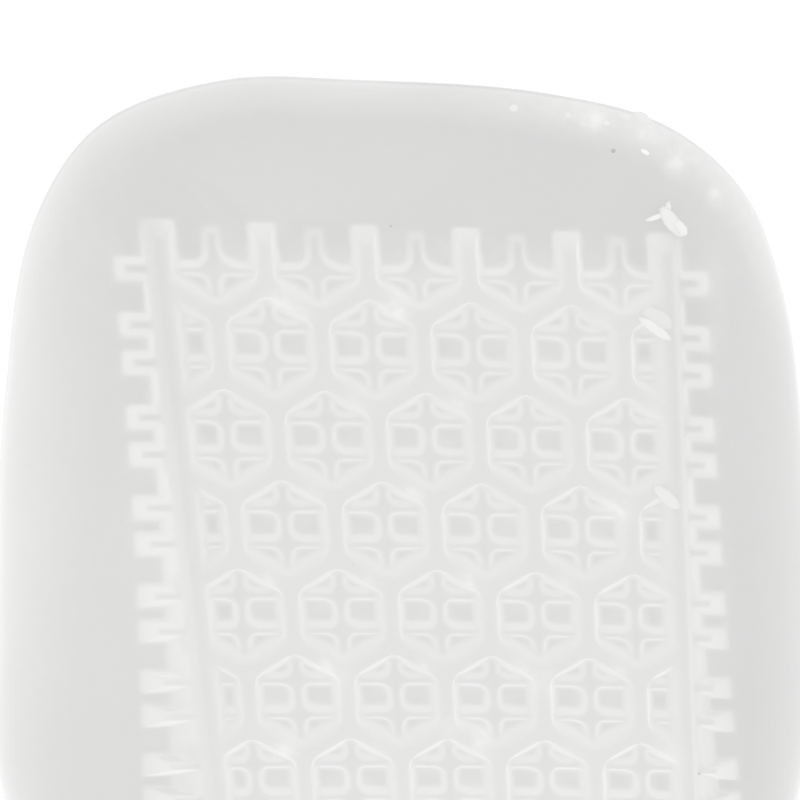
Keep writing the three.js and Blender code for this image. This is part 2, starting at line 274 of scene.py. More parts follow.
# The material's optics and the grains of its cloudy patches, speckle, smear texture and skin
GEL_IOR = 1.43
CLOUD_GRAIN = 7 * MM
SPECKLE_GRAIN = 0.9 * MM
SMEAR_TEXTURE = 0.8 * MM
SKIN_GRAIN = 0.5 * MM
SKIN_DEPTH = 0.02 * MM
SKIN_STRENGTH = 0.15
# Colour of the painted light that the gel gives off
GLOW_COLOUR = (1.0, 1.0, 0.995, 1)

# The mesh: its near neighbours, and how fine the skin is made around the stubs
NEAR = 0.5 * MM
LONGEST_EDGE = 0.8 * MM
SPLITS = 3
STUB_STRIP = (-4 * MM, 6 * MM)
WAFFLE_FRONT = 6 * MM

# Shares and laps of the modelled forms
WAIST_HEIGHT = 0.4
WAIST_TUCK = 0.2
ROOF_SOFTNESS = 0.35 * MM
WEB_LAP = 0.1 * MM
WEB_FILL = 0.3314
CORNER_SPREAD = 0.7
DENSE_STEPS = 60

FRAME_PX = 800.0
SENSOR_MM = 36.0
LOOK_BACK = 24.7 * MM
LOOK_ACROSS = -1.27 * MM
FLOOR_SIZE = 6.0
FLOOR_COLOUR = (0.8, 0.8, 0.8, 1)
FLOOR_ROUGHNESS = 0.9
FLOOR_GLOW = 0.35
SKY_HEIGHTS = (0.1, 1.0)
SKY_LIGHT = (1.35, 0.75)

# Torn flakes, grains, bumps and pits that moulding and cutting left on the ribbed side, in millimetres:
# across and along the pad from one end to the other, width, height of each end over the skin,
# and how much painted light it gets (below 0 is painted shade)
MARKS = (
    ("beak of the front flake", (18.6, 37.4), (20.6, 37.9), 0.40, (0.45, 0.15), 1.0),
    ("spike of the front flake", (20.3, 36.9), (20.45, 38.9), 0.55, (0.10, 0.40), 0.7),
    ("body of the front flake", (19.8, 38.5), (21.6, 36.0), 1.15, (0.12, 0.25), 0.75),
    ("heel of the front flake", (21.0, 37.5), (21.8, 36.2), 0.75, (0.20, 0.30), 0.9),
    ("soft lobe by the right rail", (18.2, 30.9), (20.5, 29.3), 1.4, (0.05, 0.05), 0.4),
    ("leaf by the right rail", (17.8, 30.3), (20.5, 28.3), 0.78, (0.25, 0.15), 0.85),
    ("leaf further back", (19.1, 16.7), (21.2, 14.6), 1.05, (0.12, 0.15), 0.6),
    ("grain", (7.9, 46.3), (8.6, 46.2), 0.60, (0.02, 0.02), 0.55),
    ("grain", (12.3, 45.6), (12.8, 45.5), 0.40, (0.02, 0.02), 0.3),
    ("grain", (15.4, 44.9), (15.9, 44.8), 0.40, (0.02, 0.02), 0.5),
    ("grain", (18.3, 42.8), (19.0, 42.4), 0.35, (0.08, 0.08), 1.0),
    ("bump on the rim", (16.6, 45.4), (17.6, 45.0), 0.5, (0.1, 0.1), 0.35),
    ("bump on the rim", (17.9, 45.3), (19.3, 44.5), 0.9, (0.05, 0.05), 0.35),
    ("bump on the rim", (21.9, 43.0), (22.6, 42.5), 0.40, (-0.05, -0.05), 0.35),
    ("bump on the rim", (26.5, 38.6), (27.1, 37.8), 0.50, (-0.05, -0.05), 0.35),
    ("pit", (15.9, 42.8), (16.3, 42.8), 0.40, (-0.05, -0.05), -1.5),
    ("pit", (-1.7, 37.5), (-1.5, 37.5), 0.20, (0.0, 0.0), -1.4),
    ("pit", (23.2, -8.4), (23.4, -8.4), 0.20, (0.0, 0.0), -1.4),
)
FLAKE_THICKNESS = 0.16 * MM

# Soft cloudy marks in the skin, in millimetres: across and along the pad, reach and strength
SOFT_MARKS = (
    ((-10.6, 32.4), 0.9, 0.8), ((-1.6, 31.5), 1.0, 0.8), ((16.4, 14.4), 0.9, 0.8), ((-6.8, 1.9), 1.0, 0.5),
    ((10.2, 0.5), 1.1, 0.5), ((2.4, -3.0), 0.9, 0.4), ((5.0, -4.3), 0.9, 0.4), ((-11.0, -4.0), 0.8, 0.3),
    ((14.5, 45.1), 0.8, 1.2), ((21.2, 41.4), 0.8, 1.2), ((24.4, 38.8), 0.7, 0.8), ((18.9, 43.7), 0.8, 0.7),
)


# The shape of the pad, worked out from its sizes


def sizes():
    scene = bpy.context.scene
    return scene.heel_pad_cup, scene.heel_pad_waffle


def front_y():
    return sizes()[0].length / 2


def face_height(y):
    """Height of the ribbed face at a place along the pad."""
    cup, waffle = sizes()
    back = front_y() - y
    behind = max(0.0, back - waffle.front) / (cup.length - waffle.front)
    return cup.front_thickness + math.tan(waffle.rise) * back - cup.face_sag * behind**2


def rib_top_height(y):
    cup, waffle = sizes()
    return cup.front_thickness + waffle.pocket_depth / math.cos(waffle.rise) + math.tan(waffle.rise) * (front_y() - y)


def roof_height(y):
    """Height of the hollow's roof, which runs out softly into the flat underside near the front edge."""
    cup, _ = sizes()
    raw = face_height(y) - cup.wall
    return 0.5 * (raw + math.hypot(raw, ROOF_SOFTNESS))


def outline_points():
    """Evenly spaced points of the smooth closed outline through the table's points."""
    cup, _ = sizes()
    knots = [Vector((a * cup.width / 2, front_y() - b * cup.length)) for a, b in OUTLINE]
    dense = []
    for k in range(len(knots)):
        p0, p1, p2, p3 = (knots[(k + step) % len(knots)] for step in (-1, 0, 1, 2))
        d0, d1, d2 = (max(1e-6, (b - a).length) ** 0.5 for a, b in ((p0, p1), (p1, p2), (p2, p3)))
        out_of = ((p1 - p0) / d0 - (p2 - p0) / (d0 + d1) + (p2 - p1) / d1) * d1
        into = ((p2 - p1) / d1 - (p3 - p1) / (d1 + d2) + (p3 - p2) / d2) * d1
        for i in range(DENSE_STEPS):
            t = i / DENSE_STEPS
            dense.append(
                p1 + out_of * t + (3 * (p2 - p1) - 2 * out_of - into) * t**2 + (2 * (p1 - p2) + out_of + into) * t**3
            )
    closed = dense + dense[:1]
    reach = [0.0]
    for a, b in zip(closed, closed[1:]):
        reach.append(reach[-1] + (b - a).length)
    points, place = [], 0
    for i in range(cup.outline_points):
        want = reach[-1] * i / cup.outline_points
        while reach[place + 1] < want:
            place += 1
        share = (want - reach[place]) / (reach[place + 1] - reach[place])
        points.append(closed[place].lerp(closed[place + 1], share))
    return points


def inset(points, distance_at):
    """Moves each point inwards, by a distance that may differ from front to side."""
    moved = []
    for i, point in enumerate(points):
        along = (points[(i + 1) % len(points)] - points[i - 1]).normalized()
        inwards = Vector((along.y, -along.x))
        moved.append(point + inwards * distance_at(inwards))
    return moved


def shoulder_width(inwards):
    cup, _ = sizes()
    facing_front = max(0.0, -inwards.y) ** 2
    return cup.side_shoulder + (cup.front_shoulder - cup.side_shoulder) * facing_front


def dome_rings(outline, edge_height, width_scale, height_at):
    """Rings from an edge up over a rounded shoulder and in to the middle."""
    cup, _ = sizes()
    rings = []
    for step in range(cup.shoulder_steps + 1):
        turn = step / cup.shoulder_steps * math.pi / 2
        share = 1 - math.cos(turn)
        flat = inset(outline, lambda inwards, share=share: share * width_scale * shoulder_width(inwards))
        rings.append(
            [Vector((p.x, p.y, edge_height + (height_at(p.y) - edge_height) * math.sin(turn))) for p in flat]
        )
    shoulder = rings[-1]
    for step in range(1, cup.plate_steps):
        share = 1 - step / cup.plate_steps
        rings.append([Vector((p.x * share, p.y * share, height_at(p.y * share))) for p in shoulder])
    return rings


def cup_rings():
    """All rings of the cup, from the middle of the hollow's roof, round the rim, to the middle of the face."""
    cup, _ = sizes()
    outline = outline_points()
    mouth = inset(outline, lambda _: cup.rim_land + cup.edge_tuck)
    inner_scale = (cup.side_shoulder - cup.rim_land) / cup.side_shoulder
    inner = dome_rings(mouth, 0.0, inner_scale, roof_height)
    foot = [Vector((p.x, p.y, 0.0)) for p in inset(outline, lambda _: cup.edge_tuck)]
    waist_line = inset(outline, lambda _: cup.edge_tuck * WAIST_TUCK)
    waist = [Vector((p.x, p.y, cup.edge_height * WAIST_HEIGHT)) for p in waist_line]
    return inner[::-1] + [foot, waist] + dome_rings(outline, cup.edge_height, 1.0, face_height)


def waffle_frame():
    """From the plane of the rib tops, y towards the front and z out of it, to the pad's frame."""
    _, waffle = sizes()
    y = front_y() - waffle.front
    return Matrix.Translation((waffle.aside, y, rib_top_height(y))) @ Matrix.Rotation(-waffle.rise, 4, "X")


def cell_point(column, row):
    """Point of the honeycomb in the plane of the rib tops, whose rows close up and bow towards the heel."""
    _, waffle = sizes()
    half_width = waffle.columns / 2 * waffle.cell_pitch
    across = (column - (waffle.columns - 1) / 2) * waffle.cell_pitch
    bow = waffle.row_bow * row / waffle.last_row * (across / half_width) ** 2
    back = waffle.row_pitch * row - waffle.row_closing * row**2 + bow
    return Vector((
        across * math.cos(waffle.row_slope) + back * math.tan(waffle.column_lean),
        across * math.sin(waffle.row_slope) - back,
    ))


def face_depth(point):
    """Depth of the cup's face below the plane of the rib tops."""
    _, waffle = sizes()
    on_plane = waffle_frame() @ Vector((point.x, point.y, 0))
    return (on_plane.z - face_height(on_plane.y)) * math.cos(waffle.rise)


def face_foot(point):
    return face_depth(point) + sizes()[1].root


def floor_feet():
    _, waffle = sizes()
    return (waffle.pocket_depth + waffle.root,) * 2


def left_rail(row):
    """Column of the left rail, which draws in towards the heel."""
    _, waffle = sizes()
    return -0.5 + (waffle.left_rail_inset + waffle.left_rail_draw * row / waffle.last_row) / waffle.cell_pitch


def right_rail(_row=0):
    _, waffle = sizes()
    return waffle.columns - 0.5 - waffle.right_rail_inset / waffle.cell_pitch


def fine_row_share():
    _, waffle = sizes()
    return waffle.fine_row_spacing / 2 / waffle.row_pitch


def has_main_rib(index, row):
    return (index + row) % 2 == 0


def half_columns():
    return [(index - 1) / 2 for index in range(2 * sizes()[1].columns + 1)]


# Modelling moves


def deselect_all():
    for other in bpy.context.view_layer.objects:
        other.select_set(False)


def activate(piece):
    deselect_all()
    piece.select_set(True)
    bpy.context.view_layer.objects.active = piece


def add_block(corners):
    """Adds a cube to the mesh in edit mode and drafts it: corners by the signs of x, y and z."""
    bpy.ops.mesh.select_all(action="DESELECT")
    bpy.ops.mesh.primitive_cube_add(size=2)
    mesh = bpy.context.edit_object.data
    bm = bmesh.from_edit_mesh(mesh)
    for vertex in (v for v in bm.verts if v.select):
        vertex.co = corners[tuple(1 if c > 0 else -1 for c in vertex.co)]


def lattice_ways():
    """Directions of the rows and of the columns in the plane of the rib tops."""
    _, waffle = sizes()
    row_way = Vector((math.cos(waffle.row_slope), math.sin(waffle.row_slope)))
    return row_way, Vector((-math.tan(waffle.column_lean), 1))


def add_rib(start, end, width, top, feet, left, right=None, ends=(0.0, 0.0), spread=(0.0, 0.0)):
    """A straight rib with sloped sides, its foot sunk to a depth of its own at each end.

    A rib along the rows or the columns has its ends cut along the other way of the lattice.
    The spread moves the foot's left and right edge outwards at the start."""
    right = left if right is None else right
    along = (end - start).normalized()
    left_side = Vector((-along.y, along.x))
    for way, other in (lattice_ways(), lattice_ways()[::-1]):
        if abs(along.dot(way.normalized())) > 0.99:
            left_side = other / other.dot(left_side)
    corners = {}
    for x, place, foot, slope in ((-1, start, feet[0], ends[0]), (1, end, feet[1], ends[1])):
        for y, side_slope, side_spread in ((1, left, spread[0]), (-1, right, spread[1])):
            for z, depth in ((1, top), (-1, foot)):
                drop = depth - top
                out = width / 2 + side_slope * drop + (side_spread if x < 0 and z < 0 else 0.0)
                flat = place + along * (x * slope * drop) + left_side * (y * out)
                corners[(x, y, z)] = waffle_frame() @ Vector((flat.x, flat.y, -depth))
    add_block(corners)


def add_stub(start, end, top, top_width, foot_width, end_draft, lean=0.0, set_back=0.0):
    """A stub outside the waffle keeps its width at the foot, however far the face has dropped there."""
    drop = face_depth(end) - top
    slope = (foot_width - top_width) / 2 / drop
    feet = (face_foot(start), face_foot(end))
    sway = math.tan(lean) if end.x < start.x else -math.tan(lean)
    top_end = end + (start - end).normalized() * set_back
    end_slope = math.tan(end_draft) + set_back / drop
    add_rib(start, top_end, top_width, top, feet, slope + sway, slope - sway, (0.0, end_slope))


def add_main_stub(column, row):
    _, waffle = sizes()
    share, reach = fine_row_share(), waffle.main_stub / waffle.row_pitch
    start = cell_point(column, share if row == 0 else row - share)
    end = cell_point(column, -reach if row == 0 else row + reach)
    add_stub(start, end, 0.0, waffle.main_top, waffle.main_stub_foot, waffle.end_draft)


def add_pocket_floor():
    _, waffle = sizes()
    share = fine_row_share()
    corners = {}
    for x, rail in ((-1, left_rail), (1, right_rail)):
        for y, row in ((1, share), (-1, waffle.last_row - share)):
            flat = cell_point(rail(row), row)
            foot = max(face_foot(flat), floor_feet()[0])
            for z, depth in ((1, waffle.pocket_depth), (-1, foot)):
                corners[(x, y, z)] = waffle_frame() @ Vector((flat.x, flat.y, -depth))
    add_block(corners)


def add_rails():
    _, waffle = sizes()
    outer, inner = math.tan(waffle.outer_draft), math.tan(waffle.main_draft)
    back_row, front_row = waffle.last_row - fine_row_share(), -waffle.main_stub / waffle.row_pitch
    for rail in (left_rail, right_rail):
        start, end = cell_point(rail(back_row), back_row), cell_point(rail(front_row), front_row)
        left, right = (outer, inner) if rail == left_rail else (inner, outer)
        ends = (outer, math.tan(waffle.end_draft))
        spread = (waffle.left_rail_spread, 0.0) if rail == left_rail else (0.0, waffle.right_rail_spread)
        add_rib(start, end, waffle.main_top, 0.0, (face_foot(start), face_foot(end)), left, right, ends, spread)
        add_main_stub(rail(waffle.last_row), waffle.last_row)


def add_main_columns():
    _, waffle = sizes()
    for row in range(waffle.last_row + 1):
        for index, column in list(enumerate(half_columns()))[1:-1]:
            if not has_main_rib(index, row):
                continue
            start = cell_point(column, row if row == waffle.last_row else row + 1 / 3)
            end = cell_point(column, row if row == 0 else row - 1 / 3)
            add_rib(start, end, waffle.main_top, 0.0, floor_feet(), math.tan(waffle.main_draft))
            if row in (0, waffle.last_row):
                add_main_stub(column, row)


def add_zigzags():
    _, waffle = sizes()
    columns = half_columns()
    for row in range(waffle.last_row):
        for index in range(len(columns) - 1):
            rows = [row + (1 / 3 if has_main_rib(i, row) else 2 / 3) for i in (index, index + 1)]
            ends = []
            for column in (max(columns[index], left_rail(row + 0.5)), min(columns[index + 1], right_rail())):
                share = (column - columns[index]) / (columns[index + 1] - columns[index])
                ends.append(cell_point(column, rows[0] + (rows[1] - rows[0]) * share))
            slopes = math.tan(waffle.front_draft), math.tan(waffle.heel_draft)
            add_rib(*ends, waffle.main_top, 0.0, floor_feet(), *slopes)


def add_fine_columns():
    _, waffle = sizes()
    share, reach = fine_row_share(), waffle.fine_stub / waffle.row_pitch
    for column in half_columns()[1:-1]:
        first, last = cell_point(column, share), cell_point(column, waffle.last_row - share)
        add_rib(last, first, waffle.fine_column_top, waffle.fine_drop, floor_feet(), math.tan(waffle.fine_draft))
        for start, end in ((first, cell_point(column, -reach)), (last, cell_point(column, waffle.last_row + reach))):
            add_stub(start, end, waffle.fine_drop, waffle.fine_column_top, waffle.fine_stub_foot, waffle.end_draft)


def fine_lines():
    """The rows' places of the fine ribs across the pad."""
    _, waffle = sizes()
    share = fine_row_share()
    lines = [row + side * share for row in range(waffle.last_row + 1) for side in (-1, 1)]
    return [line for line in lines if 0 <= line <= waffle.last_row]


def add_fine_rows():
    _, waffle = sizes()
    fine, outer = math.tan(waffle.fine_draft), math.tan(waffle.outer_draft)
    left_end = -0.5 - waffle.left_reach / waffle.cell_pitch
    right_end = waffle.columns - 0.5 + waffle.right_reach / waffle.cell_pitch
    for line in fine_lines():
        closing = line > waffle.last_row - 1 + fine_row_share()
        pieces = [left_rail(line), *range(waffle.columns), right_rail()]
        for one, other in zip(pieces, pieces[1:]):
            first, last = cell_point(one, line), cell_point(other, line)
            feet = (face_foot(first), face_foot(last)) if closing else floor_feet()
            add_rib(first, last, waffle.fine_row_top, waffle.fine_drop, feet, fine, outer if closing else fine)
        for column, end in ((left_rail(line), left_end), (right_rail(), right_end)):
            start = cell_point(column, line)
            stop = cell_point(end, line)
            add_stub(
                start, stop, waffle.fine_drop, waffle.side_stub_top, waffle.side_stub_foot, waffle.outer_draft,
                waffle.side_stub_lean, waffle.side_stub_set_back,
            )


def add_plan_block(corners, top, foot, grow):
    """A block with four corners in plan, whose foot is grown outwards from their middle."""
    middle = sum(corners, Vector((0, 0))) / len(corners)
    keys = ((-1, -1), (1, -1), (1, 1), (-1, 1))
    placed = {}
    for (x, y), corner in zip(keys, corners):
        outwards = (corner - middle).normalized()
        for z, depth, reach in ((1, top, 0.0), (-1, foot, grow)):
            flat = corner + outwards * reach
            placed[(x, y, z)] = waffle_frame() @ Vector((flat.x, flat.y, -depth))
    add_block(placed)


def web_reaches(radius):
    """How far three diamonds reach across and along, that together fill a cross's corners to a radius."""
    _, waffle = sizes()
    half_column, half_row = waffle.fine_column_top / 2, waffle.fine_row_top / 2
    tilt = math.tan(math.pi / 8)
    diagonal = half_column + half_row + (2 - math.sqrt(2)) * radius
    wide = half_column * tilt + half_row + WEB_FILL * radius
    tall = half_column + half_row * tilt + WEB_FILL * radius
    return (diagonal, diagonal), (wide / tilt, wide), (tall, tall / tilt)


def add_webs():
    """Rounds the corners where two fine ribs cross inside a cell, as a cutter's radius leaves them."""
    _, waffle = sizes()
    depth, foot = waffle.fine_drop, floor_feet()[0]
    grow = (foot - depth) * math.tan(waffle.fine_draft)
    lines = fine_lines()
    for line in lines:
        for index, column in list(enumerate(half_columns()))[1:-1]:
            if has_main_rib(index, round(line)):
                continue
            middle = cell_point(column, line)
            for across, along in web_reaches(waffle.web):
                corners = [Vector((-across, 0)), Vector((0, -along)), Vector((across, 0)), Vector((0, along))]
                add_plan_block([middle + corner for corner in corners], depth, foot, grow)
            if line in (lines[0], lines[-1]):
                outwards = 1 if line == lines[0] else -1
                for across, along in web_reaches(waffle.outer_web):
                    out, back = Vector((0, along * outwards)), Vector((0, -WEB_LAP * outwards))
                    corners = [Vector((-across, 0)), back, Vector((across, 0)), out]
                    add_plan_block([middle + corner for corner in corners], depth, foot, grow)


def zigzag_nodes():
    """Every place where main ribs meet, with the places that the ribs run to."""
    _, waffle = sizes()
    columns = half_columns()
    for row in range(waffle.last_row):
        for index in range(1, len(columns) - 1):
            joined = has_main_rib(index, row)
            node = row + (1 / 3 if joined else 2 / 3)
            sides = row + (2 / 3 if joined else 1 / 3)
            up_or_down = row - 1 / 3 if joined else row + 4 / 3
            ends = (columns[index - 1], sides), (columns[index + 1], sides), (columns[index], up_or_down)
            yield cell_point(columns[index], node), [cell_point(*end) for end in ends]


def add_cell_corners():
    """Rounds the honeycomb's corners with small filled wedges between neighbouring main ribs."""
    _, waffle = sizes()
    half_top, radius = waffle.main_top / 2, waffle.corner_radius
    grow = floor_feet()[0] * math.tan(waffle.main_draft) * CORNER_SPREAD
    for node, ends in zigzag_nodes():
        arms = [(end - node).normalized() for end in ends]
        for one, other in ((0, 1), (1, 2), (2, 0)):
            bisector = (arms[one] + arms[other]).normalized()
            half_angle = math.acos(max(-1.0, min(1.0, bisector.dot(arms[one]))))
            tangent = (half_top + radius) / math.tan(half_angle)
            middle = node + bisector * ((half_top + radius) / math.sin(half_angle) - radius)
            for arm in (arms[one], arms[other]):
                side = bisector - arm * bisector.dot(arm)
                edge = node + arm * tangent + side.normalized() * half_top
                add_plan_block([node, node + arm * tangent, edge, middle], 0.0, floor_feet()[0], grow)


def split_long_edges(piece):
    """Gives the skin beside the waffle enough places to hold its painted light."""
    _, waffle = sizes()
    to_plane = waffle_frame().inverted()
    half_width = waffle.columns / 2 * waffle.cell_pitch
    back_end = -waffle.row_pitch * (waffle.last_row + 1)

    def near_stubs(vertex):
        flat = to_plane @ vertex.co
        outside = abs(flat.x + flat.y * math.tan(waffle.column_lean)) - half_width
        beside = STUB_STRIP[0] < outside < STUB_STRIP[1]
        return beside and back_end < flat.y < WAFFLE_FRONT and vertex.normal.z > 0

    mesh = bmesh.new()
    mesh.from_mesh(piece.data)
    for _ in range(SPLITS):
        edges = [e for e in mesh.edges if e.calc_length() > LONGEST_EDGE and any(near_stubs(v) for v in e.verts)]
        bmesh.ops.subdivide_edges(mesh, edges=edges, cuts=1)
        bmesh.ops.triangulate(mesh, faces=[face for face in mesh.faces if len(face.verts) > 3])
    mesh.to_mesh(piece.data)
    mesh.free()


def cast(piece, grain, rounding, triangles):
    """Melts the blocks into one skin, rounds its edges, and keeps the triangles where the form needs them."""
    activate(piece)
    remesh = piece.modifiers.new("Cast", "REMESH")
    remesh.mode = "VOXEL"
    remesh.voxel_size = grain
    remesh.use_smooth_shade = True
    bpy.ops.object.modifier_apply(modifier=remesh.name)
    smooth = piece.modifiers.new("Round", "SMOOTH")
    smooth.factor = 0.5
    smooth.iterations = rounding
    bpy.ops.object.modifier_apply(modifier=smooth.name)
    faces = sum(len(p.vertices) - 2 for p in piece.data.polygons)
    thin = piece.modifiers.new("Thin", "DECIMATE")
    thin.ratio = min(1.0, triangles / faces)
    bpy.ops.object.modifier_apply(modifier=thin.name)
    split_long_edges(piece)


class NodeKit:
    """Short ways to add linked shader nodes."""

    def __init__(self, tree):
        self.nodes = tree.nodes
        self.links = tree.links

    def attribute(self, name):
        node = self.nodes.new("ShaderNodeAttribute")
        node.attribute_name = name
        return node.outputs["Fac"]

    def math(self, operation, first, second=0.0, third=0.0, clamp=False):
        node = self.nodes.new("ShaderNodeMath")
        node.operation = operation
        node.use_clamp = clamp
        for socket, value in zip(node.inputs, (first, second, third)):
            if isinstance(value, (int, float)):
                socket.default_value = value
            else:
                self.links.new(value, socket)
        return node.outputs[0]

    def noise(self, grain, detail=2.0):
        coords = self.nodes.new("ShaderNodeTexCoord")
        node = self.nodes.new("ShaderNodeTexNoise")
        node.inputs["Scale"].default_value = 1 / grain
        node.inputs["Detail"].default_value = detail
        self.links.new(coords.outputs["Object"], node.inputs["Vector"])
        return node.outputs["Fac"]


def gel_material(look):
    """Milky gel with painted light: its glow makes its walls and its thicker parts lighter than its thin flat skin."""
    material = bpy.data.materials.new("milky_gel")
    material.use_nodes = True
    kit = NodeKit(material.node_tree)
    shader = kit.nodes["Principled BSDF"]
    shader.inputs["Base Color"].default_value = (*look.body_colour, 1)
    shader.inputs["Roughness"].default_value = look.gloss
    shader.inputs["IOR"].default_value = GEL_IOR
    shader.inputs["Specular IOR Level"].default_value = look.shine
    shader.inputs["Emission Color"].default_value = GLOW_COLOUR
    # The painted light: emission that changes from place to place on the gel
    light = kit.math("ADD", kit.attribute("painted_light"), look.glow)
    # Painted light on the flakes, grains and bumps, and painted shade on the pits
    light = kit.math("MULTIPLY_ADD", kit.attribute("torn"), look.torn_glow, light)
    cloudy = kit.math("MULTIPLY", kit.attribute("smeared"), kit.noise(SMEAR_TEXTURE, 3.0))
    light = kit.math("MULTIPLY_ADD", cloudy, 2 * look.smear_glow, light)
    # Painted shade: a thin dark line along the pad's outermost line
    at_edge = kit.math("SUBTRACT", 1.0, kit.math("DIVIDE", kit.attribute("to_edge"), EDGE_LINE), clamp=True)
    light = kit.math("MULTIPLY_ADD", at_edge, look.painted_edge_shade, light)
    clouds = kit.math("ADD", kit.noise(CLOUD_GRAIN), kit.noise(SPECKLE_GRAIN, 4.0))
    light = kit.math("MULTIPLY_ADD", kit.math("SUBTRACT", clouds, 1.0), look.mottle, light)
    kit.links.new(light, shader.inputs["Emission Strength"])
    bump = kit.nodes.new("ShaderNodeBump")
    bump.inputs["Strength"].default_value = SKIN_STRENGTH
    bump.inputs["Distance"].default_value = SKIN_DEPTH
    kit.links.new(kit.noise(SKIN_GRAIN, 3.0), bump.inputs["Height"])
    kit.links.new(bump.outputs["Normal"], shader.inputs["Normal"])
    return material


def vertex_numbers(mesh, name, width):
    values = np.empty(len(mesh.vertices) * width, "f")
    mesh.vertices.foreach_get(name, values)
    return values.reshape(-1, width)


def read_attribute(mesh, name):
    values = np.empty(len(mesh.vertices), "f")
    mesh.attributes[name].data.foreach_get("value", values)
    return values


def write_attribute(mesh, name, values):
    layer = mesh.attributes.get(name) or mesh.attributes.new(name, "FLOAT", "POINT")
    layer.data.foreach_set("value", values.astype("f"))


def spread_over_neighbours(mesh, values, passes):
    """Evens out one number per vertex with its near neighbours' numbers."""
    count = len(mesh.vertices)
    edges = np.empty(len(mesh.edges) * 2, "i")
    mesh.edges.foreach_get("vertices", edges)
    edges = edges.reshape(-1, 2)
    places = vertex_numbers(mesh, "co", 3)
    lengths = np.linalg.norm(places[edges[:, 0]] - places[edges[:, 1]], axis=1)
    first, second = edges[lengths < NEAR].T
    neighbours = np.bincount(first, minlength=count) + np.bincount(second, minlength=count)
    for _ in range(passes):
        total = np.bincount(first, values[second], count) + np.bincount(second, values[first], count)
        values = np.where(neighbours > 0, (values + total / np.maximum(1, neighbours)) / 2, values)
    return values


def fade(band, values):
    """Rises from 0 at the band's start to 1 at its end."""
    start, end = BANDS[band]
    return np.clip((values - start) / (end - start), 0, 1)


def main_lines():
    """Middle lines of the main ribs and rails, as pairs of points in the plane of the rib tops."""
    _, waffle = sizes()
    lines = [(cell_point(rail(-1), -1), cell_point(rail(waffle.last_row), waffle.last_row + 1))
             for rail in (left_rail, right_rail)]
    for index, column in list(enumerate(half_columns()))[1:-1]:
        for row in range(waffle.last_row + 1):
            if has_main_rib(index, row):
                back = 1 if row == waffle.last_row else 1 / 3
                lines.append((cell_point(column, row - (1 if row == 0 else 1 / 3)), cell_point(column, row + back)))
    for node, ends in zigzag_nodes():
        lines += [(node, end) for end in ends[:2]]
    return lines


def distance_to_lines(flat, lines):
    """Distance of each point to the nearest of the lines."""
    nearest = np.full(len(flat), np.inf)
    for start, end in lines:
        start, along = np.array(start), np.array(end - start)
        share = np.clip((flat - start) @ along / (along @ along), 0, 1)
        nearest = np.minimum(nearest, np.linalg.norm(flat - start - share[:, None] * along, axis=1))
    return nearest


def smears(flat):
    """Soft cloudy patches by the front right rib of each cell, stronger towards the heel, each one different."""
    _, waffle = sizes()
    patches = np.zeros(len(flat))
    for row in range(1, waffle.last_row + 1):
        for index, column in list(enumerate(half_columns()))[1:-1]:
            if has_main_rib(index, row):
                continue
            middle = cell_point(column + SMEAR_PLACE[0], row + SMEAR_PLACE[1])
            chance = noise.noise(Vector((middle.x, middle.y, 0)) / SMEAR_GRAINS[0])
            chance += SMEAR_CHANCE + SMEAR_CHANCE_BY_ROW * row
            spread = noise.noise(Vector((middle.y, middle.x, MM)) / SMEAR_GRAINS[1])
            reach = (SMEAR_REACH + SMEAR_REACH_SPREAD * spread) * MM
            away = flat - np.array(middle)
            along = (away[:, 0] - away[:, 1]) / math.sqrt(2)
            across = (away[:, 0] + away[:, 1]) / math.sqrt(2)
            patch = np.exp(-((along / reach) ** 2) - (across / (SMEAR_NARROWING * reach)) ** 2)
            patches = np.maximum(patches, max(0.0, min(1.0, chance)) * patch)
    return patches


def soft_marks(flat):
    """Soft cloudy spots at given places."""
    strongest = np.zeros(len(flat))
    for place, reach, strength in SOFT_MARKS:
        away = np.linalg.norm(flat - np.array(place) * MM, axis=1) / (reach * MM)
        strongest = np.maximum(strongest, strength * np.exp(-(away**2)))
    return strongest


